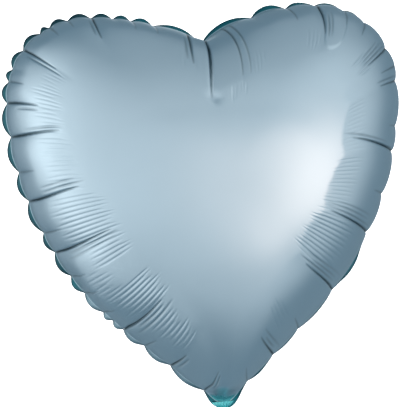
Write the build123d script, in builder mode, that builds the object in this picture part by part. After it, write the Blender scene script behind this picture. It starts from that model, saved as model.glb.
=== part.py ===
"""Heart-shaped foil balloon with its self-sealing valve and inflation tail.

The seam lies in the XZ plane, the front panel faces -Y and +Z is up. The origin is the
gathered waist just under the heart's tip, where the tail folds and a ribbon is tied.
All sizes are in millimetres. Film is drawn thicker than it is, so that it can be a solid.
"""

import os

from build123d import *
from math import atan2, cos, degrees, radians, sin, sqrt

os.makedirs("parts", exist_ok=True)

# The inflated envelope, measured on the seam where the two panels meet
SEAM_HALF_WIDTH = 183.0
SEAM_TIP_Z = 9.5
SEAM_TOP_Z = 373.0
BELLY_Z = 216.0  # height of the fullest point
PANEL_RISE = 86.0  # from the seam plane to the fullest point of one panel
LOBE_SHARE = 0.59  # lobe centre's offset as a share of the half width
NOTCH_DEPTH = 30.0
TIP_RADIUS = 10.0
TIP_HALF_ANGLE = radians(49)
NOTCH_RADIUS = 6.0
TIP_WEDGE = 0.12  # how fast the tip's ridge climbs from the seam, as a share of the height
LEVELS = (0.0, 0.3, 0.55, 0.75, 0.88, 0.95, 0.985)  # shares of the rise, one heart each

# Films and seams
FOIL = 0.4
VALVE_FILM = 0.2
MARGIN = 6.0  # flat heat-sealed border outside the seam
SEAL = 2 * VALVE_FILM

# Neck and tail
NECK_WIDTH = 4.0
NECK_END_Z = 2.5
TAIL_TOP_Z = -1.0
TAIL_NECK_Z = -3.0
TAIL_FLARE_Z = -15.0
TAIL_END_Z = -70.0
TAIL_WIDTH = 24.0
TAIL_SEAL_WIDTH = 3.0

# Valve: a flat sleeve of two films, from inside the tail up into the envelope
SLEEVE_WIDTH = 16.0
SLEEVE_TOP_Z = 52.0
SLEEVE_NECK_Z = 13.0
SLEEVE_FLARE_Z = 28.0
INLET_FLARE_Z = -12.0
INLET_END_Z = -58.0

COLOURS = {
    "satin": Color(0.62, 0.73, 0.80),
    "teal": Color(0.05, 0.35, 0.42),
    "clear": Color(0.85, 0.88, 0.90),
}


def heart_section(level, inset):
    """Draws one heart: the seam's heart at level 0, and a rounder one further up the panel.

    inset shrinks it all round, and a negative one grows it.
    """
    fade = 1 - level**2
    half_width = SEAM_HALF_WIDTH * fade**0.3 - inset
    top = BELLY_Z + (SEAM_TOP_Z - BELLY_Z) * fade**0.42 - inset
    tip_reach = (1 - TIP_WEDGE * level) * fade**0.35
    tip = BELLY_Z - (BELLY_Z - SEAM_TIP_Z) * tip_reach + inset
    tip_radius = TIP_RADIUS + (0.8 * half_width - TIP_RADIUS) * level**3 - inset
    lobe_x = LOBE_SHARE * SEAM_HALF_WIDTH * fade**0.44
    lobe_radius = half_width - lobe_x
    widest_z = top - lobe_radius
    notch = NOTCH_DEPTH * fade**1.8

    # Straight flank, tangent to the tip's arc and to the side arc
    along = (sin(TIP_HALF_ANGLE), cos(TIP_HALF_ANGLE))
    out = (along[1], -along[0])
    side_radius = (
        tip_radius * (1 - along[0]) + (widest_z - tip) * along[0] - half_width * along[1]
    ) / (1 - along[1])
    side_x = half_width - side_radius
    flank_start = (tip_radius * out[0], tip + tip_radius + tip_radius * out[1])
    flank_end = (side_x + side_radius * out[0], widest_z + side_radius * out[1])

    # Shallow arc from the top of the lobe towards the notch, and the notch's own arc
    crown_radius = (lobe_x**2 + notch**2) / (2 * notch)
    crown_z = top - crown_radius
    notch_radius = max(NOTCH_RADIUS, 0.09 * lobe_x + inset)
    notch_z = crown_z + sqrt((crown_radius + notch_radius) ** 2 - lobe_x**2)
    reach = crown_radius / (crown_radius + notch_radius)
    notch_end = (lobe_x * (1 - reach), crown_z + (notch_z - crown_z) * reach)
    crown_turn = atan2(notch_end[1] - crown_z, notch_end[0] - lobe_x)
    crown_middle = (crown_turn + radians(90)) / 2

    crown_point = (
        lobe_x + crown_radius * cos(crown_middle),
        crown_z + crown_radius * sin(crown_middle),
    )

    with BuildSketch() as heart:
        with BuildLine():
            RadiusArc((0, tip), flank_start, -tip_radius)
            Line(flank_start, flank_end)
            CenterArc(
                (side_x, widest_z), side_radius, -degrees(TIP_HALF_ANGLE), degrees(TIP_HALF_ANGLE)
            )
            CenterArc((lobe_x, widest_z), lobe_radius, 0, 90)
            ThreePointArc((lobe_x, top), crown_point, notch_end)
            RadiusArc(notch_end, (0, notch_z - notch_radius), notch_radius)
            mirror(about=Plane.YZ)
        make_face()
    return heart.sketch


def seam_plane(side, height=0.0):
    """The plane of one panel's hearts, height above the seal; side is 1 in front, -1 behind."""
    return Plane.XZ.offset(side * (SEAL / 2 + height))


def dome(side, inset):
    """Lofts one panel's hearts, from the seam up to the nearly flat middle."""
    with BuildPart() as lofted:
        for level in LEVELS:
            with BuildSketch(seam_plane(side, level * (PANEL_RISE - inset))):
                add(heart_section(level, inset))
        loft()
    return lofted.part


def strip(width, start_z, neck_z, flare_z, end_z):
    """Draws a flat strip: neck width from start_z to neck_z, full width from flare_z on."""
    with BuildSketch() as outline:
        with BuildLine():
            Polyline(
                (0, start_z),
                (NECK_WIDTH / 2, start_z),
                (NECK_WIDTH / 2, neck_z),
                (width / 2, flare_z),
                (width / 2, end_z),
                (0, end_z),
            )
            mirror(about=Plane.YZ)
        make_face()
    return outline.sketch


def finish(piece, name, colour):
    """Names a finished piece and writes its file."""
    piece.part.label = name
    piece.part.color = COLOURS[colour]
    export_step(piece.part, f"parts/{name}.step")


border = heart_section(0, -MARGIN)
cavity_mouth = heart_section(0, FOIL)
sleeve = strip(SLEEVE_WIDTH, NECK_END_Z, SLEEVE_NECK_Z, SLEEVE_FLARE_Z, SLEEVE_TOP_Z)
inlet = strip(SLEEVE_WIDTH, TAIL_TOP_Z, TAIL_NECK_Z, INLET_FLARE_Z, INLET_END_Z)
tail = strip(TAIL_WIDTH, TAIL_TOP_Z, TAIL_NECK_Z, TAIL_FLARE_Z, TAIL_END_Z)

# Envelope: two domed panels, each with a flat border and half of the neck
for side, place in ((1, "front"), (-1, "back")):
    skin = dome(side, 0)
    cavity = dome(side, FOIL)
    with BuildPart() as panel:
        add(skin)
        with BuildSketch(seam_plane(side)):
            add(border)
            with Locations((0, NECK_END_Z)):
                Rectangle(NECK_WIDTH, SEAM_TIP_Z - NECK_END_Z, align=(Align.CENTER, Align.MIN))
        extrude(amount=side * FOIL)
        add(cavity, mode=Mode.SUBTRACT)
    finish(panel, f"{place}_foil", "satin")

# Heat seal: the fused layer between the two borders, open at the neck for the sleeve
with BuildPart() as heat_seal:
    with BuildSketch(Plane.XZ):
        add(border)
        add(cavity_mouth, mode=Mode.SUBTRACT)
        Rectangle(NECK_WIDTH, 4 * SEAM_TIP_Z, mode=Mode.SUBTRACT)
    extrude(amount=SEAL / 2, both=True)
finish(heat_seal, "heat_seal", "teal")

# Self-sealing sleeve and tail, front and back: the sleeve's films lie face to face
for side, place in ((1, "front"), (-1, "back")):
    with BuildPart() as valve_film:
        with BuildSketch(Plane.XZ):
            add(sleeve)
        extrude(amount=side * VALVE_FILM)
    finish(valve_film, f"valve_{place}_film", "clear")

    with BuildPart() as inlet_film:
        with BuildSketch(Plane.XZ):
            add(inlet)
        extrude(amount=side * VALVE_FILM)
    finish(inlet_film, f"inlet_{place}_film", "clear")

    with BuildPart() as tail_foil:
        with BuildSketch(seam_plane(side)):
            add(tail)
        extrude(amount=side * FOIL)
    finish(tail_foil, f"tail_{place}_foil", "teal")

# Tail seals: the two long edges of the tail, fused outside the sleeve
with BuildPart() as tail_side_seals:
    with BuildSketch(Plane.XZ):
        with Locations(
            (-(TAIL_WIDTH - TAIL_SEAL_WIDTH) / 2, TAIL_FLARE_Z),
            ((TAIL_WIDTH - TAIL_SEAL_WIDTH) / 2, TAIL_FLARE_Z),
        ):
            Rectangle(
                TAIL_SEAL_WIDTH, TAIL_FLARE_Z - TAIL_END_Z, align=(Align.CENTER, Align.MAX)
            )
    extrude(amount=SEAL / 2, both=True)
finish(tail_side_seals, "tail_side_seals", "teal")
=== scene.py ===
"""Heart-shaped foil balloon: two satin foil panels, their sealed border and the inflation tail.

The panels are swept from heart-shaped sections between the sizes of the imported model. Every
column of points starts at a station on the seam and runs inwards over the panel, so a pucker
is a station, a length and a depth. Shapes are worked out in millimetres and turned into
metres when a mesh is made.
"""

import bpy
import numpy as np
from mathutils import Matrix, Vector


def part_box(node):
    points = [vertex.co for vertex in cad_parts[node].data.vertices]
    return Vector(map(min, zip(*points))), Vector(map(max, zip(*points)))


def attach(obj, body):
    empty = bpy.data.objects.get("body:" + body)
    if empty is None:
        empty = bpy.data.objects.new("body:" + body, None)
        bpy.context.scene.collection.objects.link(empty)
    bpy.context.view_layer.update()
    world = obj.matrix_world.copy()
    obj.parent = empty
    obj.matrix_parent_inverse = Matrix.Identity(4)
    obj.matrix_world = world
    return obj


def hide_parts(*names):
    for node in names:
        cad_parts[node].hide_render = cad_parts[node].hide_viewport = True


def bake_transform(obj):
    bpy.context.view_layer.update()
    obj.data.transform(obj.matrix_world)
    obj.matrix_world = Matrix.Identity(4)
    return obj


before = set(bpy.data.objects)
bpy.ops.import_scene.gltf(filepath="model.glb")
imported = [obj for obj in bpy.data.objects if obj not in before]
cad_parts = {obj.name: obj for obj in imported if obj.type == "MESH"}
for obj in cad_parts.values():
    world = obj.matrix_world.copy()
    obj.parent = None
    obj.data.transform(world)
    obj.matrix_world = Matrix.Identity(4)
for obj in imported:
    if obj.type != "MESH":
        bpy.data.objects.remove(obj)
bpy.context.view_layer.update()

MM = 0.001
SEED = 457

# ---------------------------------------------------------------- sizes taken from the frame
SEAL_LOW, SEAL_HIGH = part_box("heat_seal")
FOIL_LOW, FOIL_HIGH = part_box("front_foil")
TAIL_LOW, TAIL_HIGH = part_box("tail_front_foil")

MARGIN = 6.0  # sealed border outside the seam
SEAM_HALF_WIDTH = SEAL_HIGH.x / MM - MARGIN
SEAM_TOP_Z = FOIL_HIGH.z / MM - MARGIN
SEAM_TIP_Z = 9.5
BELLY_Z = 216.0
SEAL_HALF = 0.2
PANEL_RISE = 86.0
TIP_RADIUS = 10.0
TIP_HALF_ANGLE = np.radians(49)
LOBE_SHARE = 0.59
NOTCH_DEPTH = 30.0
NOTCH_RADIUS = 6.0
TIP_WEDGE = 0.12
LAST_LEVEL = 0.93  # above it the sections shrink towards the belly point
WIDTH_POWER = 0.3  # how the sections' width falls with the rise

# ---------------------------------------------------------------- mesh density
HALF_COLUMNS = 720  # from the tip to the notch, on each side
PUCKERED = 127.6  # how far over the panel the fine rows reach
FINE_STEP = 2.2
BELLY_ROWS = 18
BORDER_STEPS = 6  # strips across the border

# ---------------------------------------------------------------- puckers
# Stations where the border kinks inwards, in mm along the seam from the tip, anticlockwise
# as seen from the front: right side, notch, left side.
KINKS = (
    30, 65, 99, 148, 211, 250, 292, 316, 359, 392, 424, 446, 473, 501, 535,
    589, 637, 658, 675, 695, 717, 735, 745, 767, 787, 799, 819, 850, 883, 911,
    943, 964, 991, 1011, 1036, 1048, 1061, 1086, 1117, 1157,
)
# Folds of the front panel: station, length, depth, lean of the inner end, fine folds beside
# it (positive on the side of higher stations).
FRONT_FOLDS = (
    (30, 20, 1.0, 0, 0),
    (65, 34, 3.2, -9, 2),
    (99, 20, 1.2, 0, 0),
    (148, 52, 4.2, -6, 3),
    (211, 60, 3.8, 4, 3),
    (250, 20, 1.2, 0, 0),
    (292, 60, 3.8, 19, 1),
    (316, 16, 1.0, 0, 0),
    (359, 28, 2.2, 0, 1),
    (373, 24, 1.4, 0, 0),
    (392, 36, 2.6, 0, 3),
    (424, 18, 1.2, 0, 0),
    (446, 18, 1.2, 0, 0),
    (473, 30, 2.4, -2, -2),
    (501, 14, 1.2, 0, 0),
    (560, 44, 1.2, 3, 0),
    (567, 42, 1.7, 4, 0),
    (591, 54, 5.0, 4.5, 0),
    (607, 28, 2.4, -2, 1),
    (637, 12, 1.0, 0, 0),
    (658, 12, 0.9, 0, 0),
    (695, 22, 2.6, 0, 1),
    (717, 10, 0.9, 0, 0),
    (735, 12, 1.1, 0, 0),
    (767, 32, 2.3, 0, 1),
    (799, 12, 1.1, 0, 0),
    (819, 24, 2.6, 0, 1),
    (850, 40, 3.2, -7, -1),
    (883, 12, 1.1, 0, 0),
    (911, 42, 3.6, -6, -2),
    (943, 14, 1.2, 0, 0),
    (964, 50, 3.6, -3, 2),
    (991, 14, 1.1, 0, 0),
    (1011, 14, 1.1, 0, 0),
    (1036, 12, 1.2, 0, 0),
    (1061, 42, 3.6, 0, 2),
    (1086, 12, 1.1, 0, 0),
    (1117, 16, 2.4, 0, 1),
    (1157, 24, 1.8, 0, 1),
)
# Fields of fine parallel ridges: first and last station, where they start and end inwards,
# spacing, height.
FRONT_RIDGES = (
    (76, 96, 26, 52, 5.0, 0.5),
    (152, 209, 24, 74, 5.4, 0.62),
    (216, 284, 44, 72, 5.2, 0.3),
    (296, 352, 44, 70, 5.2, 0.2),
    (384, 412, 26, 50, 4.8, 0.5),
    (476, 492, 20, 44, 5.0, 0.3),
    (545, 560, 26, 46, 4.6, 0.2),
    (567, 584, 47, 58, 3.0, 0.8),
    (600, 622, 16, 34, 4.8, 0.2),
    (772, 796, 24, 42, 4.8, 0.2),
    (800, 846, 20, 44, 5.0, 0.4),
    (852, 907, 20, 48, 5.0, 0.46),
    (914, 961, 12, 58, 4.8, 0.62),
    (967, 992, 22, 56, 5.0, 0.55),
    (994, 1020, 10, 28, 4.9, 0.3),
    (1024, 1057, 14, 54, 4.9, 0.62),
    (1066, 1110, 16, 41, 4.9, 0.55),
)
# Rounded pockets with a clear inner edge: station, half width, reach, height
FRONT_POCKETS = ((458, 13, 44, 0.65),)
# Small pits at the ends of folds: station, distance inwards, radius, depth
FRONT_PITS = ((593, 54, 4.5, 1.5),)
NOTCH_STATION = 589
# Stations of the folds that part one pillow from the next.
MAIN_FOLDS = (
    65, 148, 211, 292, 359, 392, 473, 570, 590, 695, 767, 819, 850, 911, 964, 1061, 1117,
)
STATION_RUN = 1178.0  # the tables' stations run from 0 to this, once round the seam
PILLOW_REACH = 50.0
RIGHT_REACH = 14.5  # more of it on the right side
LEFT_SAG = 0.6  # how far the pillows' inner facets lie under the smooth dome
RIGHT_SAG = 2.3
SQUARE_RUN = 62.0  # how far a column keeps square to the seam


def smooth(x):
    x = np.clip(x, 0, 1)
    return x * x * (3 - 2 * x)


def arc(centre, radius, start, stop, count=160):
    turn = np.linspace(start, stop, count)
    return np.c_[centre[0] + radius * np.cos(turn), centre[1] + radius * np.sin(turn)]


def half_heart(level):
    """Right half of the heart at a share of the panel's rise, from the tip to the notch."""
    fade = 1 - level**2
    half_width = SEAM_HALF_WIDTH * fade**WIDTH_POWER
    top = BELLY_Z + (SEAM_TOP_Z - BELLY_Z) * fade**0.42
    tip_reach = (1 - TIP_WEDGE * level) * fade**0.35
    tip = BELLY_Z - (BELLY_Z - SEAM_TIP_Z) * tip_reach
    tip_radius = TIP_RADIUS + (0.8 * half_width - TIP_RADIUS) * level**3
    lobe_x = LOBE_SHARE * SEAM_HALF_WIDTH * fade**0.44
    lobe_radius = half_width - lobe_x
    widest_z = top - lobe_radius
    notch = NOTCH_DEPTH * fade**1.8
    along = (np.sin(TIP_HALF_ANGLE), np.cos(TIP_HALF_ANGLE))
    out = (along[1], -along[0])
    side_radius = (
        tip_radius * (1 - along[0]) + (widest_z - tip) * along[0] - half_width * along[1]
    ) / (1 - along[1])
    side_x = half_width - side_radius
    crown_radius = (lobe_x**2 + notch**2) / (2 * notch)
    crown_z = top - crown_radius
    notch_radius = max(NOTCH_RADIUS, 0.09 * lobe_x)
    notch_z = crown_z + np.sqrt((crown_radius + notch_radius) ** 2 - lobe_x**2)
    reach = crown_radius / (crown_radius + notch_radius)
    end = (lobe_x * (1 - reach), crown_z + (notch_z - crown_z) * reach)
    outline = np.vstack(
        [
            arc((0, tip + tip_radius), tip_radius, -np.pi / 2, -TIP_HALF_ANGLE),
            arc((side_x, widest_z), side_radius, -TIP_HALF_ANGLE, 0),
            arc((lobe_x, widest_z), lobe_radius, 0, np.pi / 2),
            arc(
                (lobe_x, crown_z),
                crown_radius,
                np.pi / 2,
                np.arctan2(end[1] - crown_z, end[0] - lobe_x),
            ),
            arc(
                (0, notch_z),
                notch_radius,
                np.arctan2(end[1] - notch_z, end[0]),
                -np.pi / 2,
            ),
        ]
    )
    return outline


def evenly(points, count):
    """count + 1 points at equal distances along a line of points."""
    steps = np.linalg.norm(np.diff(points, axis=0), axis=1)
    run = np.r_[0, np.cumsum(steps)]
    at = np.linspace(0, run[-1], count + 1)
    return np.stack([np.interp(at, run, points[:, k]) for k in range(points.shape[1])], 1)


def heart_loop(level):
    """Closed heart, from the tip up the right side, over the notch and down the left."""
    right = evenly(half_heart(level), HALF_COLUMNS)
    left = right[-2:0:-1] * (-1, 1)
    return np.vstack([right, left])


def level_table():
    """Share of the panel's rise over the plan: by angle round the belly, then by closeness."""
    levels = np.linspace(0, LAST_LEVEL, 90)
    angles = np.linspace(-np.pi, np.pi, 2881)
    radii = []
    for level in levels:
        loop = heart_loop(level) - (0, BELLY_Z)
        angle = np.arctan2(loop[:, 0], -loop[:, 1])
        order = np.argsort(angle)
        radius = np.hypot(loop[:, 0], loop[:, 1])
        radii.append(np.interp(angles, angle[order], radius[order], period=2 * np.pi))
    shares = np.linspace(1, 0, 40)[1:]
    radii = np.vstack([radii, shares[:, None] * radii[-1]])
    tops = np.sqrt(1 - (1 - LAST_LEVEL**2) * shares ** (1 / WIDTH_POWER))
    levels = np.r_[levels, tops]
    closeness = np.sqrt(1 - radii / radii[0])
    even = np.linspace(0, 1, 400)
    table = np.array([np.interp(even, closeness[:, j], levels) for j in range(len(angles))])
    return table, radii[0]


def panel_depth(x, z, table, rim):
    """Depth of the smooth panel in front of the seam plane, at points of the plan."""
    turn = (np.arctan2(x, BELLY_Z - z) + np.pi) / (2 * np.pi) * (len(rim) - 1)
    low = np.clip(turn.astype(int), 0, len(rim) - 2)
    part = turn - low
    edge = rim[low] * (1 - part) + rim[low + 1] * part
    near = np.sqrt(np.clip(1 - np.hypot(x, z - BELLY_Z) / edge, 0, 1)) * (table.shape[1] - 1)
    step = np.clip(near.astype(int), 0, table.shape[1] - 2)
    more = near - step
    here = table[low, step] * (1 - more) + table[low, step + 1] * more
    there = table[low + 1, step] * (1 - more) + table[low + 1, step + 1] * more
    return SEAL_HALF + PANEL_RISE * (here * (1 - part) + there * part)


def panel_columns():
    """The smooth panel as columns that leave the seam square to it and end at the belly."""
    seam = heart_loop(0.0)
    along = np.roll(seam, -1, axis=0) - np.roll(seam, 1, axis=0)
    inward = blurred(np.c_[-along[:, 1], along[:, 0]], 9)
    inward /= np.linalg.norm(inward, axis=1, keepdims=True)
    from_tip = np.abs(from_station(0))
    straight = SQUARE_RUN * (0.35 + 0.65 * smooth(from_tip / 110))
    belly = np.array((0.0, BELLY_Z))
    corners = (
        seam,
        seam + straight[:, None] * inward,
        belly + 0.35 * (seam - belly),
        np.broadcast_to(belly, seam.shape),
    )
    table, rim = level_table()
    columns = []
    for t in np.linspace(0, 1, 260) ** 2:
        weights = ((1 - t) ** 3, 3 * t * (1 - t) ** 2, 3 * t**2 * (1 - t), t**3)
        plan = sum(weight * corner for weight, corner in zip(weights, corners))
        depth = panel_depth(plan[:, 0], plan[:, 1], table, rim)
        if t == 0:
            depth = np.full(COLUMNS, SEAL_HALF)
        columns.append(np.c_[plan[:, 0], -depth, plan[:, 1]])
    return np.array(columns)


def along_rows(columns, distances):
    """Points at the given distances from the seam, measured along each column."""
    steps = np.linalg.norm(np.diff(columns, axis=0), axis=2)
    run = np.vstack([np.zeros(columns.shape[1]), np.cumsum(steps, axis=0)])
    rows = np.empty((distances.shape[0], columns.shape[1], 3))
    for j in range(columns.shape[1]):
        for k in range(3):
            rows[:, j, k] = np.interp(distances[:, j], run[:, j], columns[:, j, k])
    return rows


def blurred(ring, width):
    """A closed ring of values, blurred along the seam by a Gaussian of that width in mm."""
    frequency = np.fft.rfftfreq(ring.shape[0], PERIMETER / ring.shape[0])
    gain = np.exp(-2 * (np.pi * frequency * width) ** 2)
    gain = gain.reshape(-1, *([1] * (ring.ndim - 1)))
    return np.fft.irfft(np.fft.rfft(ring, axis=0) * gain, ring.shape[0], axis=0)


seam_loop = heart_loop(0.0)
PERIMETER = np.linalg.norm(np.roll(seam_loop, -1, axis=0) - seam_loop, axis=1).sum()
COLUMNS = 2 * HALF_COLUMNS
STATIONS = np.arange(COLUMNS) * PERIMETER / COLUMNS
KINK_SCALE = PERIMETER / STATION_RUN  # mm of seam to a mm of station


def from_station(station):
    """Signed distance along the seam from a station to every column."""
    gap = STATIONS - station * KINK_SCALE
    return (gap + PERIMETER / 2) % PERIMETER - PERIMETER / 2


BOW_INSET = 1.5  # left side: the bows' tops stand about where the smooth seam would
BOW_SHARE = 0.09  # height of a bow, as a share of its chord
BOW_MOST = 3.4
FLAT_BOWS = (211, 1000)  # between the tip and these stations the bows are half flat-topped


def scallops():
    """How far the seam bows outwards between neighbouring kinks."""
    kinks = np.array(KINKS) * KINK_SCALE
    bow = np.zeros(COLUMNS)
    opened = np.zeros(COLUMNS)
    for here, there in zip(kinks, np.r_[kinks[1:], kinks[0] + PERIMETER]):
        chord = there - here
        share = ((STATIONS - here) % PERIMETER) / chord
        inside = share < 1
        height = min(BOW_SHARE * chord, BOW_MOST)
        arch = 4 * share[inside] * (1 - share[inside])
        middle = (here + there) / 2 / KINK_SCALE
        round_share = 1.0 if FLAT_BOWS[0] <= middle <= FLAT_BOWS[1] else 0.5
        bow[inside] = height * (round_share * arch**0.7 + (1 - round_share) * 0.75)
        opened[inside] = arch**0.8
    return bow - BOW_INSET * smooth((STATIONS / PERIMETER - 0.45) / 0.1), opened


SCALLOPS, OPENED = scallops()


def pillow_shape():
    """Between the main folds: bulge near the seam, sag of the facet behind it, and reach."""
    main = np.array(MAIN_FOLDS) * KINK_SCALE
    arch = np.zeros(COLUMNS)
    wide = np.zeros(COLUMNS)
    for here, there in zip(main, np.r_[main[1:], main[0] + PERIMETER]):
        share = ((STATIONS - here) % PERIMETER) / (there - here)
        inside = share < 1
        arch[inside] = (4 * share[inside] * (1 - share[inside])) ** 0.8
        wide[inside] = smooth((there - here - 25) / 45)
    along = np.roll(seam_loop, -1, axis=0) - np.roll(seam_loop, 1, axis=0)
    right = smooth(along[:, 1] / np.linalg.norm(along, axis=1) / 0.9)
    station = STATIONS / KINK_SCALE
    lower_left = smooth((station - 960) / 20) * smooth((1064 - station) / 8)
    off_tip = smooth((np.abs(from_station(0)) - 50) / 30)
    bulge = (3.6 + 5.6 * lower_left) * wide * arch * (1 - right) * off_tip
    facets = right * smooth((STATIONS - 116) / 36) * smooth((400 - STATIONS) / 50)
    sag = LEFT_SAG + (RIGHT_SAG - LEFT_SAG) * facets * (0.45 + 0.55 * arch)
    reach = PILLOW_REACH + (15 * right - 7) * arch + RIGHT_REACH * right
    return blurred(bulge, 1.5), blurred(sag, 3), blurred(reach, 3)


BULGE, SAG, REACH = pillow_shape()


def pillows(inwards, reach):
    """The bow of the seam and the facet behind it, which ends at an arris inside."""
    share = np.clip(inwards / reach, 0, 1)
    tent = np.clip(1 - share, 0, None)
    bow = blurred(SCALLOPS, 0.7 + 7 * smooth(inwards.mean() / 26)) * np.exp(-inwards / 11)
    bulge = BULGE * smooth(inwards / 13)
    return tent * (bow + bulge) - 4 * SAG * share * tent


def fold(distance, inwards, length, depth, lean):
    """One pucker: its depth, and the shade painted into the colour of its narrow slit."""
    share = np.clip(inwards / length, 0, 1)
    across = distance - lean * share**1.4
    start = smooth((inwards + 0.3) / 5)
    drawn = smooth((inwards + 2.5) / 4)
    fade = 1 - share
    steep, gentle = 1.1, 6.0 * (1 - 0.5 * share) + 0.5
    side = 1 if lean >= 0 else -1
    width = np.where(across * side > 0, steep, gentle)
    trough = np.exp(-(np.sqrt((across / width) ** 2 + 0.01) - 0.1))
    slit = np.exp(-((across / (0.85 - 0.25 * share)) ** 2)) * fade**0.5
    sunk = depth * start * (0.5 * fade * trough + 0.7 * slit)
    # A thin line of painted shade along the slit, which the material mixes into the colour.
    line = np.exp(-((across / (1.15 - 0.4 * share)) ** 2)) * fade**0.4
    return sunk, line * drawn * min(depth / 2.4, 1)


def fine_fold(distance, inwards, start, end, depth, width=1.3):
    """A short shallow groove beside a main fold."""
    share = np.clip((inwards - start) / (end - start), 0, 1)
    return depth * np.sin(np.pi * share) ** 0.6 * np.exp(-((distance / width) ** 2))


def ridges(inwards, first, last, start, end, spacing, height):
    """A field of fine parallel grooves with ragged ends."""
    half = (last - first) / 2 * KINK_SCALE
    distance = from_station((first + last) / 2)
    count = np.round(distance / spacing)
    ragged_start = 3.5 * np.sin(2.4 * count + first)
    ragged_end = 4.0 * np.sin(1.7 * count + last)
    window = smooth((inwards - start - ragged_start) / 9)
    window = window * smooth((end + ragged_end - inwards) / 8)
    window = window * smooth((half + 0.5 * spacing - np.abs(distance)) / (0.6 * spacing))
    groove = 1 - np.abs(np.sin(np.pi * (distance / spacing + 0.5))) ** 0.8
    return height * window * groove


def pocket(inwards, station, half, reach, height):
    """A raised patch from the seam inwards with a half-round inner end."""
    past = np.clip(inwards - (reach - half), 0, None) / half
    size = np.sqrt((from_station(station) / half) ** 2 + past**2)
    return height * smooth((1.06 - size) / 0.2) * smooth(inwards / 14)


def front_relief(inwards):
    """Displacement of the front panel along its normal, and the shade painted into the colour of
    its folds.
    """
    rng = np.random.default_rng(SEED)
    relief = pillows(inwards, REACH)
    shadow = np.zeros(COLUMNS)
    for station, length, depth, lean, beside in FRONT_FOLDS:
        distance = from_station(station)
        sunk, painted_shade = fold(distance, inwards, length, depth, lean)
        relief -= sunk
        shadow = np.maximum(shadow, painted_shade)
        for k in range(abs(beside)):
            offset = np.sign(beside) * (4.6 + 4.6 * k + rng.uniform(-0.4, 0.4))
            start = length * rng.uniform(0.1, 0.3)
            end = length * rng.uniform(0.85, 1.2)
            across = distance - offset - lean * (inwards / length) ** 1.4
            groove = fine_fold(across, inwards, start, end, 0.75 - 0.15 * k, 1.1)
            relief -= groove
            # The fine groove gets a little painted shade as well.
            shadow = np.maximum(shadow, 0.45 * groove)
    for field in FRONT_RIDGES:
        relief -= ridges(inwards, *field)
    for patch in FRONT_POCKETS:
        relief += pocket(inwards, *patch)
    for station, middle, radius, depth in FRONT_PITS:
        away = (from_station(station) ** 2 + (inwards - middle) ** 2) / radius**2
        relief -= depth * np.exp(-away)
    return relief, shadow


def back_relief(inwards):
    """Displacement of the back panel along its normal, and the shade painted into the colour of
    its folds.
    """
    rng = np.random.default_rng(SEED + 1)
    relief = pillows(inwards, REACH)
    shadow = np.zeros(COLUMNS)
    for station in KINKS:
        main = min(abs(station - other) for other in MAIN_FOLDS) < 12
        length = rng.uniform(32, 50) if main else rng.uniform(12, 22)
        depth = rng.uniform(2.6, 3.8) if main else rng.uniform(1.0, 1.8)
        if station == NOTCH_STATION:
            length, depth = 58, 5.0
        distance = from_station(station)
        sunk, painted_shade = fold(distance, inwards, length, depth, rng.uniform(-4, 4))
        relief -= sunk
        shadow = np.maximum(shadow, painted_shade)
        spacing = rng.uniform(4.6, 5.4)
        side = rng.choice((-1, 1))
        for k in range(rng.integers(2, 8) if main else 0):
            start = rng.uniform(14, 22)
            end = rng.uniform(36, 56)
            offset = side * (6 + spacing * k)
            relief -= fine_fold(distance - offset, inwards, start, end, 0.6)
    return relief, shadow


def panel_rows():
    """Fine rows near the seam and coarser ones over the belly, as rows of 3-D points."""
    columns = panel_columns()
    length = np.linalg.norm(np.diff(columns, axis=0), axis=2).sum(axis=0)
    fine = np.arange(0, PUCKERED + 0.01, FINE_STEP)
    fine_at = np.repeat(fine[:, None], COLUMNS, axis=1)
    share = np.linspace(0, 1, BELLY_ROWS + 1)[1:] ** 0.9
    belly_at = PUCKERED + share[:, None] * (length - PUCKERED)[None, :]
    rows = along_rows(columns, np.vstack([fine_at, belly_at]))
    for k, row in enumerate(rows):
        run = fine[k] if k < len(fine) else PUCKERED
        rows[k] = blurred(row, 1.5 + 12 * smooth(run / 40))
    return rows, fine


def row_normals(rows):
    around = np.roll(rows, -1, axis=1) - np.roll(rows, 1, axis=1)
    inward = np.gradient(rows, axis=0)
    normals = np.cross(around, inward)
    return normals / np.linalg.norm(normals, axis=2, keepdims=True)


def new_piece(name, points, faces, material, smooth_faces=True):
    mesh = bpy.data.meshes.new(name)
    mesh.from_pydata((np.asarray(points) * MM).tolist(), [], faces)
    mesh.validate()
    if smooth_faces:
        mesh.shade_smooth()
    piece = bpy.data.objects.new(name, mesh)
    bpy.context.scene.collection.objects.link(piece)
    mesh.materials.append(material)
    return piece


def paint(piece, name, values):
    """A share from 0 to 1 at every point of the piece, for its material to read."""
    layer = piece.data.attributes.new(name, "FLOAT", "POINT")
    layer.data.foreach_set("value", np.asarray(values, np.float32))


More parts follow.
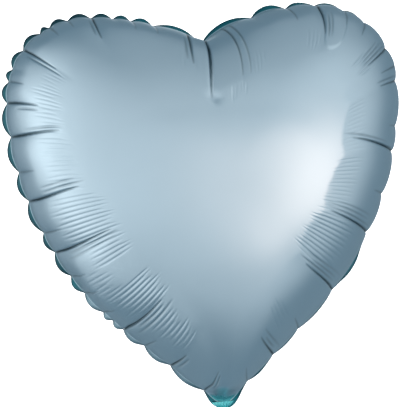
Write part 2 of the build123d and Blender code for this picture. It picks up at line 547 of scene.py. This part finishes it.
def panel_piece(name, side, relief, material):
    """A puckered panel; side is -1 for the front and 1 for the back."""
    rows, fine = panel_rows()
    normals = row_normals(rows)
    steps = np.diff(rows[: len(fine), :, ::2], axis=0)
    inwards = np.vstack([np.zeros(COLUMNS), np.linalg.norm(steps, axis=2).cumsum(axis=0)])
    shadows = np.zeros(rows.shape[:2])
    for k, run in enumerate(fine):
        height, shadows[k] = relief(inwards[k])
        fade = smooth((PUCKERED - run) / 12)
        rows[k] += (fade * height)[:, None] * normals[k]
    if side > 0:
        rows[..., 1] *= -1
    points, faces, indices, shades = [], [], [], []
    first = 0
    for k, row in enumerate(rows):
        over_fine = k - (len(fine) - 1)
        stride = 1 if over_fine <= 0 else 2 if over_fine == 1 else 4
        if k == len(rows) - 1:
            points.append(row.mean(axis=0)[None, :])
            shades.append([0.0])
            indices.append(np.array([first]))
            break
        kept = row[::stride]
        points.append(kept)
        shades.append(shadows[k][::stride])
        indices.append(first + np.arange(len(kept)))
        first += len(kept)
    points = np.vstack(points)
    to_tip = np.linalg.norm(points - (0, 0, SEAM_TIP_Z), axis=1)
    points[:, 1] *= 0.12 + 0.88 * smooth((to_tip - 6) / 28)
    for outer, inner in zip(indices[:-1], indices[1:]):
        n, m = len(outer), len(inner)
        for j in range(m if m > 1 else n):
            if m == 1:
                face = [outer[j], outer[(j + 1) % n], inner[0]]
            elif n == m:
                after = (j + 1) % n
                face = [outer[j], outer[after], inner[after], inner[j]]
            else:
                a = 2 * j
                face = [outer[a], outer[a + 1], outer[(a + 2) % n], inner[(j + 1) % m], inner[j]]
            if side > 0:
                face = face[::-1]
            faces.append([int(v) for v in face])
    piece = new_piece(name, points, faces, material)
    paint(piece, "bare", smooth((16 - to_tip) / 5))
    # Painted shade in the folds, which the material mixes into the colour.
    paint(piece, "shadow", np.concatenate(shades))
    return piece


# ---------------------------------------------------------------- materials
SATIN = (0.485, 0.655, 0.76)
TEAL = (0.10, 0.50, 0.55)
# The border's bare foil is the same teal foil as the tip and the tail, but darker: painted shade
# that holds back the bright light it would reflect.
SHADED_BORDER_TEAL = (0.012, 0.18, 0.225)
# Near-black blue that painted shade darkens the colour towards, in folds and on the border.
FOLD_SHADE_COLOUR = (0.02, 0.06, 0.08)
SHADOW_GAIN = 1.15


def node_material(name):
    material = bpy.data.materials.new(name)
    material.use_nodes = True
    tree = material.node_tree
    shader = tree.nodes["Principled BSDF"]
    return material, tree, shader


def foil_material(name, satin, bare):
    """Satin-coated foil that turns into bare glossy foil where the piece's share says so, and
    whose colour is darkened by painted shade where its shadow share says so.
    """
    material, tree, shader = node_material(name)
    nodes, links = tree.nodes, tree.links
    share = nodes.new("ShaderNodeAttribute")
    share.attribute_name = "bare"
    place = nodes.new("ShaderNodeTexCoord")

    grain = nodes.new("ShaderNodeTexNoise")
    grain.inputs["Scale"].default_value = 1400.0
    grain.inputs["Detail"].default_value = 2.0
    links.new(place.outputs["Object"], grain.inputs["Vector"])
    clouds = nodes.new("ShaderNodeTexNoise")
    clouds.inputs["Scale"].default_value = 9.0
    clouds.inputs["Detail"].default_value = 3.0
    links.new(place.outputs["Object"], clouds.inputs["Vector"])

    shade = nodes.new("ShaderNodeValToRGB")
    shade.color_ramp.elements[0].position = 0.3
    shade.color_ramp.elements[0].color = (*[c * 0.965 for c in satin], 1)
    shade.color_ramp.elements[1].position = 0.7
    shade.color_ramp.elements[1].color = (*[min(1, c * 1.02) for c in satin], 1)
    links.new(clouds.outputs["Fac"], shade.inputs["Fac"])
    coat = nodes.new("ShaderNodeMix")
    coat.data_type = "RGBA"
    coat.inputs["B"].default_value = (*bare, 1)
    links.new(share.outputs["Fac"], coat.inputs["Factor"])
    links.new(shade.outputs["Color"], coat.inputs["A"])
    # Painted shade: the piece's shadow share darkens the colour in its folds and on the border.
    fold_shadow = nodes.new("ShaderNodeAttribute")
    fold_shadow.attribute_name = "shadow"
    depth = nodes.new("ShaderNodeMath")
    depth.operation = "MULTIPLY"
    depth.use_clamp = True
    depth.inputs[1].default_value = SHADOW_GAIN
    links.new(fold_shadow.outputs["Fac"], depth.inputs[0])
    painted_shade = nodes.new("ShaderNodeMix")
    painted_shade.data_type = "RGBA"
    painted_shade.inputs["B"].default_value = (*FOLD_SHADE_COLOUR, 1)
    links.new(depth.outputs["Value"], painted_shade.inputs["Factor"])
    links.new(coat.outputs["Result"], painted_shade.inputs["A"])
    links.new(painted_shade.outputs["Result"], shader.inputs["Base Color"])

    gloss = nodes.new("ShaderNodeMapRange")
    gloss.inputs["From Min"].default_value = 0.0
    gloss.inputs["From Max"].default_value = 1.0
    gloss.inputs["To Min"].default_value = 0.31
    gloss.inputs["To Max"].default_value = 0.17
    links.new(share.outputs["Fac"], gloss.inputs["Value"])
    speckle = nodes.new("ShaderNodeMath")
    speckle.operation = "MULTIPLY_ADD"
    speckle.inputs[1].default_value = 0.05
    links.new(grain.outputs["Fac"], speckle.inputs[0])
    links.new(gloss.outputs["Result"], speckle.inputs[2])
    links.new(speckle.outputs["Value"], shader.inputs["Roughness"])

    bump = nodes.new("ShaderNodeBump")
    bump.inputs["Strength"].default_value = 0.05
    bump.inputs["Distance"].default_value = 0.0002
    links.new(grain.outputs["Fac"], bump.inputs["Height"])
    links.new(bump.outputs["Normal"], shader.inputs["Normal"])
    shader.inputs["Metallic"].default_value = 0.97
    shader.inputs["Coat Weight"].default_value = 0.15
    shader.inputs["Coat Roughness"].default_value = 0.3
    return material


def clear_material(name):
    material, tree, shader = node_material(name)
    nodes, links = tree.nodes, tree.links
    place = nodes.new("ShaderNodeTexCoord")
    waves = nodes.new("ShaderNodeTexNoise")
    waves.inputs["Scale"].default_value = 120.0
    links.new(place.outputs["Object"], waves.inputs["Vector"])
    tint = nodes.new("ShaderNodeValToRGB")
    tint.color_ramp.elements[0].color = (0.80, 0.86, 0.88, 1)
    tint.color_ramp.elements[1].color = (0.92, 0.95, 0.96, 1)
    links.new(waves.outputs["Fac"], tint.inputs["Fac"])
    links.new(tint.outputs["Color"], shader.inputs["Base Color"])
    bump = nodes.new("ShaderNodeBump")
    bump.inputs["Strength"].default_value = 0.2
    bump.inputs["Distance"].default_value = 0.0005
    links.new(waves.outputs["Fac"], bump.inputs["Height"])
    links.new(bump.outputs["Normal"], shader.inputs["Normal"])
    shader.inputs["Roughness"].default_value = 0.18
    shader.inputs["IOR"].default_value = 1.5
    shader.inputs["Transmission Weight"].default_value = 0.85
    return material


satin_foil = foil_material("satin_foil", SATIN, TEAL)
border_foil = foil_material("border_foil", SATIN, SHADED_BORDER_TEAL)
clear_film = clear_material("clear_film")

# ---------------------------------------------------------------- envelope
front_panel = panel_piece("front_panel", -1, front_relief, satin_foil)
back_panel = panel_piece("back_panel", 1, back_relief, satin_foil)
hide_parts("front_foil")
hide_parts("back_foil")
for panel in (front_panel, back_panel):
    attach(panel, "envelope")

# Lean of the border, from the seam plane towards the back, by station in degrees
LEANS = (
    (0, 0), (20, 40), (60, 74), (150, 74), (165, 40), (185, 44), (205, 74), (480, 74),
    (505, 42), (530, 44), (550, 46), (585, 50), (610, 50), (660, 50), (760, 51),
    (900, 51), (960, 56), (1000, 42), (1020, 50), (1150, 50), (1178, 0),
)
# How bare the border's face is, by station
BARENESS = (
    (0, 1), (155, 1), (166, 0.85), (200, 0.85), (210, 1), (1000, 1), (1020, 0.4),
    (1140, 0.4), (1165, 1), (1178, 1),
)
# Painted shade on the border's film, by station: how far its colour is darkened
BORDER_SHADE = ((0, 0), (650, 0), (690, 0.65), (985, 0.65), (1010, 0), (1178, 0))


def by_station(table):
    stations, values = np.array(table).T
    return blurred(np.interp(STATIONS, stations * KINK_SCALE, values), 4)


SCALLOPS_AT_SEAM = blurred(SCALLOPS, 0.7)


def border_rows():
    """The sealed border: a strip leaning back from the seam, pinched at each kink."""
    rows, fine = panel_rows()
    normals = row_normals(rows)
    seam = rows[0] + SCALLOPS_AT_SEAM[:, None] * normals[0]
    seam[:, 1] = 0
    outward = normals[0] * (1, 0, 1)
    outward /= np.linalg.norm(outward, axis=1, keepdims=True)
    back = np.array((0.0, 1.0, 0.0))
    open_share = np.clip(blurred(OPENED, 0.5), 0, 1)
    lean = by_station(LEANS)
    lean = np.radians(lean + (92 - lean) * (1 - open_share))
    strip = [seam]
    step = MARGIN / BORDER_STEPS * (0.55 + 0.45 * open_share[:, None])
    for k in range(BORDER_STEPS):
        turn = lean * (0.55 + 0.14 * k)
        aim = np.cos(turn)[:, None] * outward + np.sin(turn)[:, None] * back
        strip.append(strip[-1] + step * aim)
    return np.array(strip)


def border_piece(material):
    rows = border_rows()
    count = rows.shape[1]
    faces = []
    for k in range(len(rows) - 1):
        for j in range(count):
            after = (j + 1) % count
            a, b = k * count, (k + 1) * count
            faces.append((a + j, b + j, b + after, a + after))
    piece = new_piece("seam_border", rows.reshape(-1, 3), faces, material)
    bare = [by_station(BARENESS) * min(k, 1) for k in range(len(rows))]
    paint(piece, "bare", np.concatenate(bare))
    # Painted shade on the border: its colour is darkened where it is pinched at the kinks, by
    # station from the table above, and in a dark outline along its outer edge.
    pinched = 1 - np.clip(blurred(OPENED, 0.5), 0, 1)
    border_shade_share = np.maximum(0.7 * pinched, by_station(BORDER_SHADE))
    shadow = [border_shade_share * min(k, 1) + 0.5 * (k == BORDER_STEPS) for k in range(len(rows))]
    paint(piece, "shadow", np.concatenate(shadow))
    return piece


seam_border = border_piece(border_foil)
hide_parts("heat_seal")
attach(seam_border, "envelope")

# ---------------------------------------------------------------- tail
TAIL_END_Z = TAIL_LOW.z / MM
TAIL_HALF = TAIL_HIGH.x / MM
SEAL_WIDTH = 3.0
WAIST_HALF = 2.2
FILM_TOP_Z = 8.5  # where the tail's films begin, inside the tip


def tail_half_width(z):
    """Half width of the tail: wider into the tip, gathered at the waist, flat below."""
    above = WAIST_HALF + 8.3 * smooth(z / 9.0) ** 0.8
    below = WAIST_HALF + (TAIL_HALF - WAIST_HALF) * smooth(-z / 17.0)
    return np.where(z > 0, above, below)


def tail_film(name, side, material):
    """One film of the tail, pleated at the waist; side is -1 for the front."""
    heights = np.r_[np.linspace(FILM_TOP_Z, -18, 54), np.linspace(-18, TAIL_END_Z, 36)[1:]]
    across = np.linspace(-1, 1, 121)
    points = []
    for z in heights:
        half = tail_half_width(z)
        gather = np.exp(-((z / 7.5) ** 2)) + 0.18 * np.exp(-(((z + 14) / 16) ** 2))
        pleats = 0.5 * (1 + np.cos(across * np.pi * 6 + 0.6 * np.sin(z * 0.35 + side)))
        edge = 1 - across**8
        puff = 0.7 * np.sqrt(np.clip(1 - across**2, 0, 1)) * smooth((-z - 6) / 20)
        y = 0.28 + edge * (1.3 * gather * pleats + puff)
        ripple = 0.05 * np.sin(z * 0.9 + across * 5) * smooth((-z - 12) / 10) * edge
        points.append(np.c_[across * half, side * (y + ripple), np.full(len(across), z)])
    points = np.array(points)
    rows, columns = points.shape[:2]
    faces = []
    for i in range(rows - 1):
        for j in range(columns - 1):
            a = i * columns + j
            face = (a, a + 1, a + columns + 1, a + columns)
            faces.append(face if side > 0 else face[::-1])
    piece = new_piece(name, points.reshape(-1, 3), faces, material)
    shares = np.repeat(smooth((heights + 16) / 14), columns)
    paint(piece, "bare", shares)
    return piece


def tail_seals(material):
    """The two sealed edges of the tail, a little embossed."""
    heights = np.linspace(-15, TAIL_END_Z, 60)
    points, faces = [], []
    for edge in (-1, 1):
        start = len(points)
        for z in heights:
            half = float(tail_half_width(z))
            for k in range(5):
                x = edge * (half + 0.4 - SEAL_WIDTH * k / 4)
                y = 0.12 + 0.06 * np.sin(z * 5.0) * (0 < k < 4)
                points.append((x, -y, z))
                points.append((x, y, z))
        for i in range(len(heights) - 1):
            for k in range(4):
                a = start + i * 10 + k * 2
                front = (a, a + 2, a + 12, a + 10)
                rear = (a + 1, a + 11, a + 13, a + 3)
                faces.append(front if edge > 0 else front[::-1])
                faces.append(rear if edge > 0 else rear[::-1])
            a = start + i * 10
            rim = (a, a + 10, a + 11, a + 1)
            inner = (a + 8, a + 9, a + 19, a + 18)
            faces.append(rim if edge > 0 else rim[::-1])
            faces.append(inner if edge > 0 else inner[::-1])
    piece = new_piece("tail_seals", points, faces, material, smooth_faces=False)
    paint(piece, "bare", np.ones(len(points)))
    return piece


tail_front = tail_film("tail_front", -1, satin_foil)
tail_back = tail_film("tail_back", 1, satin_foil)
tail_edges = tail_seals(satin_foil)
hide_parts("tail_front_foil")
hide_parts("tail_back_foil")
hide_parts("tail_side_seals")
for film in (tail_front, tail_back, tail_edges):
    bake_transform(film)

for node in ("valve_front_film", "valve_back_film", "inlet_front_film", "inlet_back_film"):
    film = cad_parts[node]
    film.data.materials.clear()
    film.data.materials.append(clear_film)

# ---------------------------------------------------------------- stage, light and camera
TARGET = Vector((0.0, 0.0, 0.19))
DIM = (0.205, 0.275, 0.32)
BRIGHT = (1.02, 0.99, 0.985)
# Soft lights in the tent: azimuth, elevation, outer and inner edge in degrees, amount
TENT = (
    (-57, 1, 75, 1, 1.1),
    (38, -2, 63, 1, 0.72),
    (-74, 0, 28, 8, 0.35),
    (-106, -10, 52, 6, 0.30),
    (60, 51, 56, 4, 0.32),
)


def direction(azimuth, elevation):
    """Unit vector from the balloon; azimuth 0 is straight in front, positive to the right."""
    a, e = np.radians(azimuth), np.radians(elevation)
    return Vector((np.sin(a) * np.cos(e), -np.cos(a) * np.cos(e), np.sin(e)))


def stage_material():
    material, _, shader = node_material("stage")
    shader.inputs["Base Color"].default_value = (0.9, 0.9, 0.9, 1)
    shader.inputs["Roughness"].default_value = 1.0
    shader.inputs["Emission Color"].default_value = (1, 1, 1, 1)
    shader.inputs["Emission Strength"].default_value = 0.85
    return material


def stage_piece():
    """A pale floor that curves up into a round backdrop."""
    floor_z, flat, corner, wall = -0.35, 3.0, 1.2, 3.0
    profile = [(r, floor_z) for r in np.linspace(0.02, flat, 12)]
    for turn in np.linspace(0, np.pi / 2, 14)[1:]:
        profile.append((flat + corner * np.sin(turn), floor_z + corner * (1 - np.cos(turn))))
    profile.append((flat + corner, floor_z + wall))
    around = 96
    points, faces = [], []
    for radius, z in profile:
        for j in range(around):
            turn = 2 * np.pi * j / around
            points.append((radius * np.cos(turn) / MM, radius * np.sin(turn) / MM, z / MM))
    for i in range(len(profile) - 1):
        for j in range(around):
            after = (j + 1) % around
            a, b = i * around, (i + 1) * around
            faces.append((a + j, a + after, b + after, b + j))
    faces.append(tuple(range(around))[::-1])
    piece = new_piece("backdrop", points, faces, stage_material())
    piece.visible_glossy = False


def softbox(name, azimuth, elevation, distance, width, height, power, colour=(1, 1, 1)):
    light = bpy.data.lights.new(name, "AREA")
    light.shape = "ELLIPSE"
    light.size = width
    light.size_y = height
    light.energy = power
    light.color = colour
    lamp = bpy.data.objects.new(name, light)
    bpy.context.scene.collection.objects.link(lamp)
    place = TARGET + direction(azimuth, elevation) * distance
    lamp.matrix_world = Matrix.Translation(place) @ (place - TARGET).to_track_quat(
        "Z", "Y"
    ).to_matrix().to_4x4()
    lamp.visible_camera = False


def surroundings():
    """World: a pale tent in front of the balloon, dim behind and below it."""
    world = bpy.data.worlds.new("studio")
    bpy.context.scene.world = world
    world.use_nodes = True
    nodes, links = world.node_tree.nodes, world.node_tree.links
    place = nodes.new("ShaderNodeTexCoord")

    def lobe(azimuth, elevation, wide, narrow, amount):
        """Share of a soft round light: none beyond wide degrees, all within narrow."""
        aim = nodes.new("ShaderNodeVectorMath")
        aim.operation = "DOT_PRODUCT"
        aim.inputs[1].default_value = direction(azimuth, elevation)
        links.new(place.outputs["Generated"], aim.inputs[0])
        ramp = nodes.new("ShaderNodeMapRange")
        ramp.interpolation_type = "SMOOTHSTEP"
        ramp.inputs["From Min"].default_value = np.cos(np.radians(wide))
        ramp.inputs["From Max"].default_value = np.cos(np.radians(narrow))
        ramp.inputs["To Max"].default_value = amount
        links.new(aim.outputs["Value"], ramp.inputs["Value"])
        return ramp.outputs["Result"]

    total = None
    for light in TENT:
        part = lobe(*light)
        if total is None:
            total = part
            continue
        add = nodes.new("ShaderNodeMath")
        links.new(total, add.inputs[0])
        links.new(part, add.inputs[1])
        total = add.outputs["Value"]
    tone = nodes.new("ShaderNodeMix")
    tone.data_type = "RGBA"
    tone.clamp_factor = False
    tone.inputs["A"].default_value = (*DIM, 1)
    tone.inputs["B"].default_value = (*BRIGHT, 1)
    links.new(total, tone.inputs["Factor"])
    background = nodes["Background"]
    links.new(tone.outputs["Result"], background.inputs["Color"])


stage_piece()
surroundings()
softbox("key", 31, -3, 1.6, 0.9, 0.8, 2.9, (1.0, 0.64, 0.5))
softbox("rear", 168, 8, 1.8, 1.3, 1.1, 2.6)
bpy.context.scene.view_settings.view_transform = "Standard"

CAMERA_AZIMUTH = -11.0
CAMERA_ELEVATION = 3.2
CAMERA_DISTANCE = 1.5
CAMERA_ROLL = 3.5
CAMERA_LENS = 142.1
AIM_RIGHT = -0.0102  # the aim is a little beside the target, as seen from the camera
AIM_UP = 0.0051


def camera_piece():
    camera = bpy.data.cameras.new("camera")
    camera.lens = CAMERA_LENS
    camera.sensor_width = 36
    holder = bpy.data.objects.new("camera", camera)
    bpy.context.scene.collection.objects.link(holder)
    place = TARGET + direction(CAMERA_AZIMUTH, CAMERA_ELEVATION) * CAMERA_DISTANCE
    level = (place - TARGET).to_track_quat("Z", "Y").to_matrix()
    roll = Matrix.Rotation(np.radians(-CAMERA_ROLL), 3, "Z")
    aim = TARGET + (level @ roll) @ Vector((AIM_RIGHT, AIM_UP, 0))
    level = (place - aim).to_track_quat("Z", "Y").to_matrix()
    holder.matrix_world = Matrix.Translation(place) @ (level @ roll).to_4x4()
    bpy.context.scene.camera = holder


camera_piece()
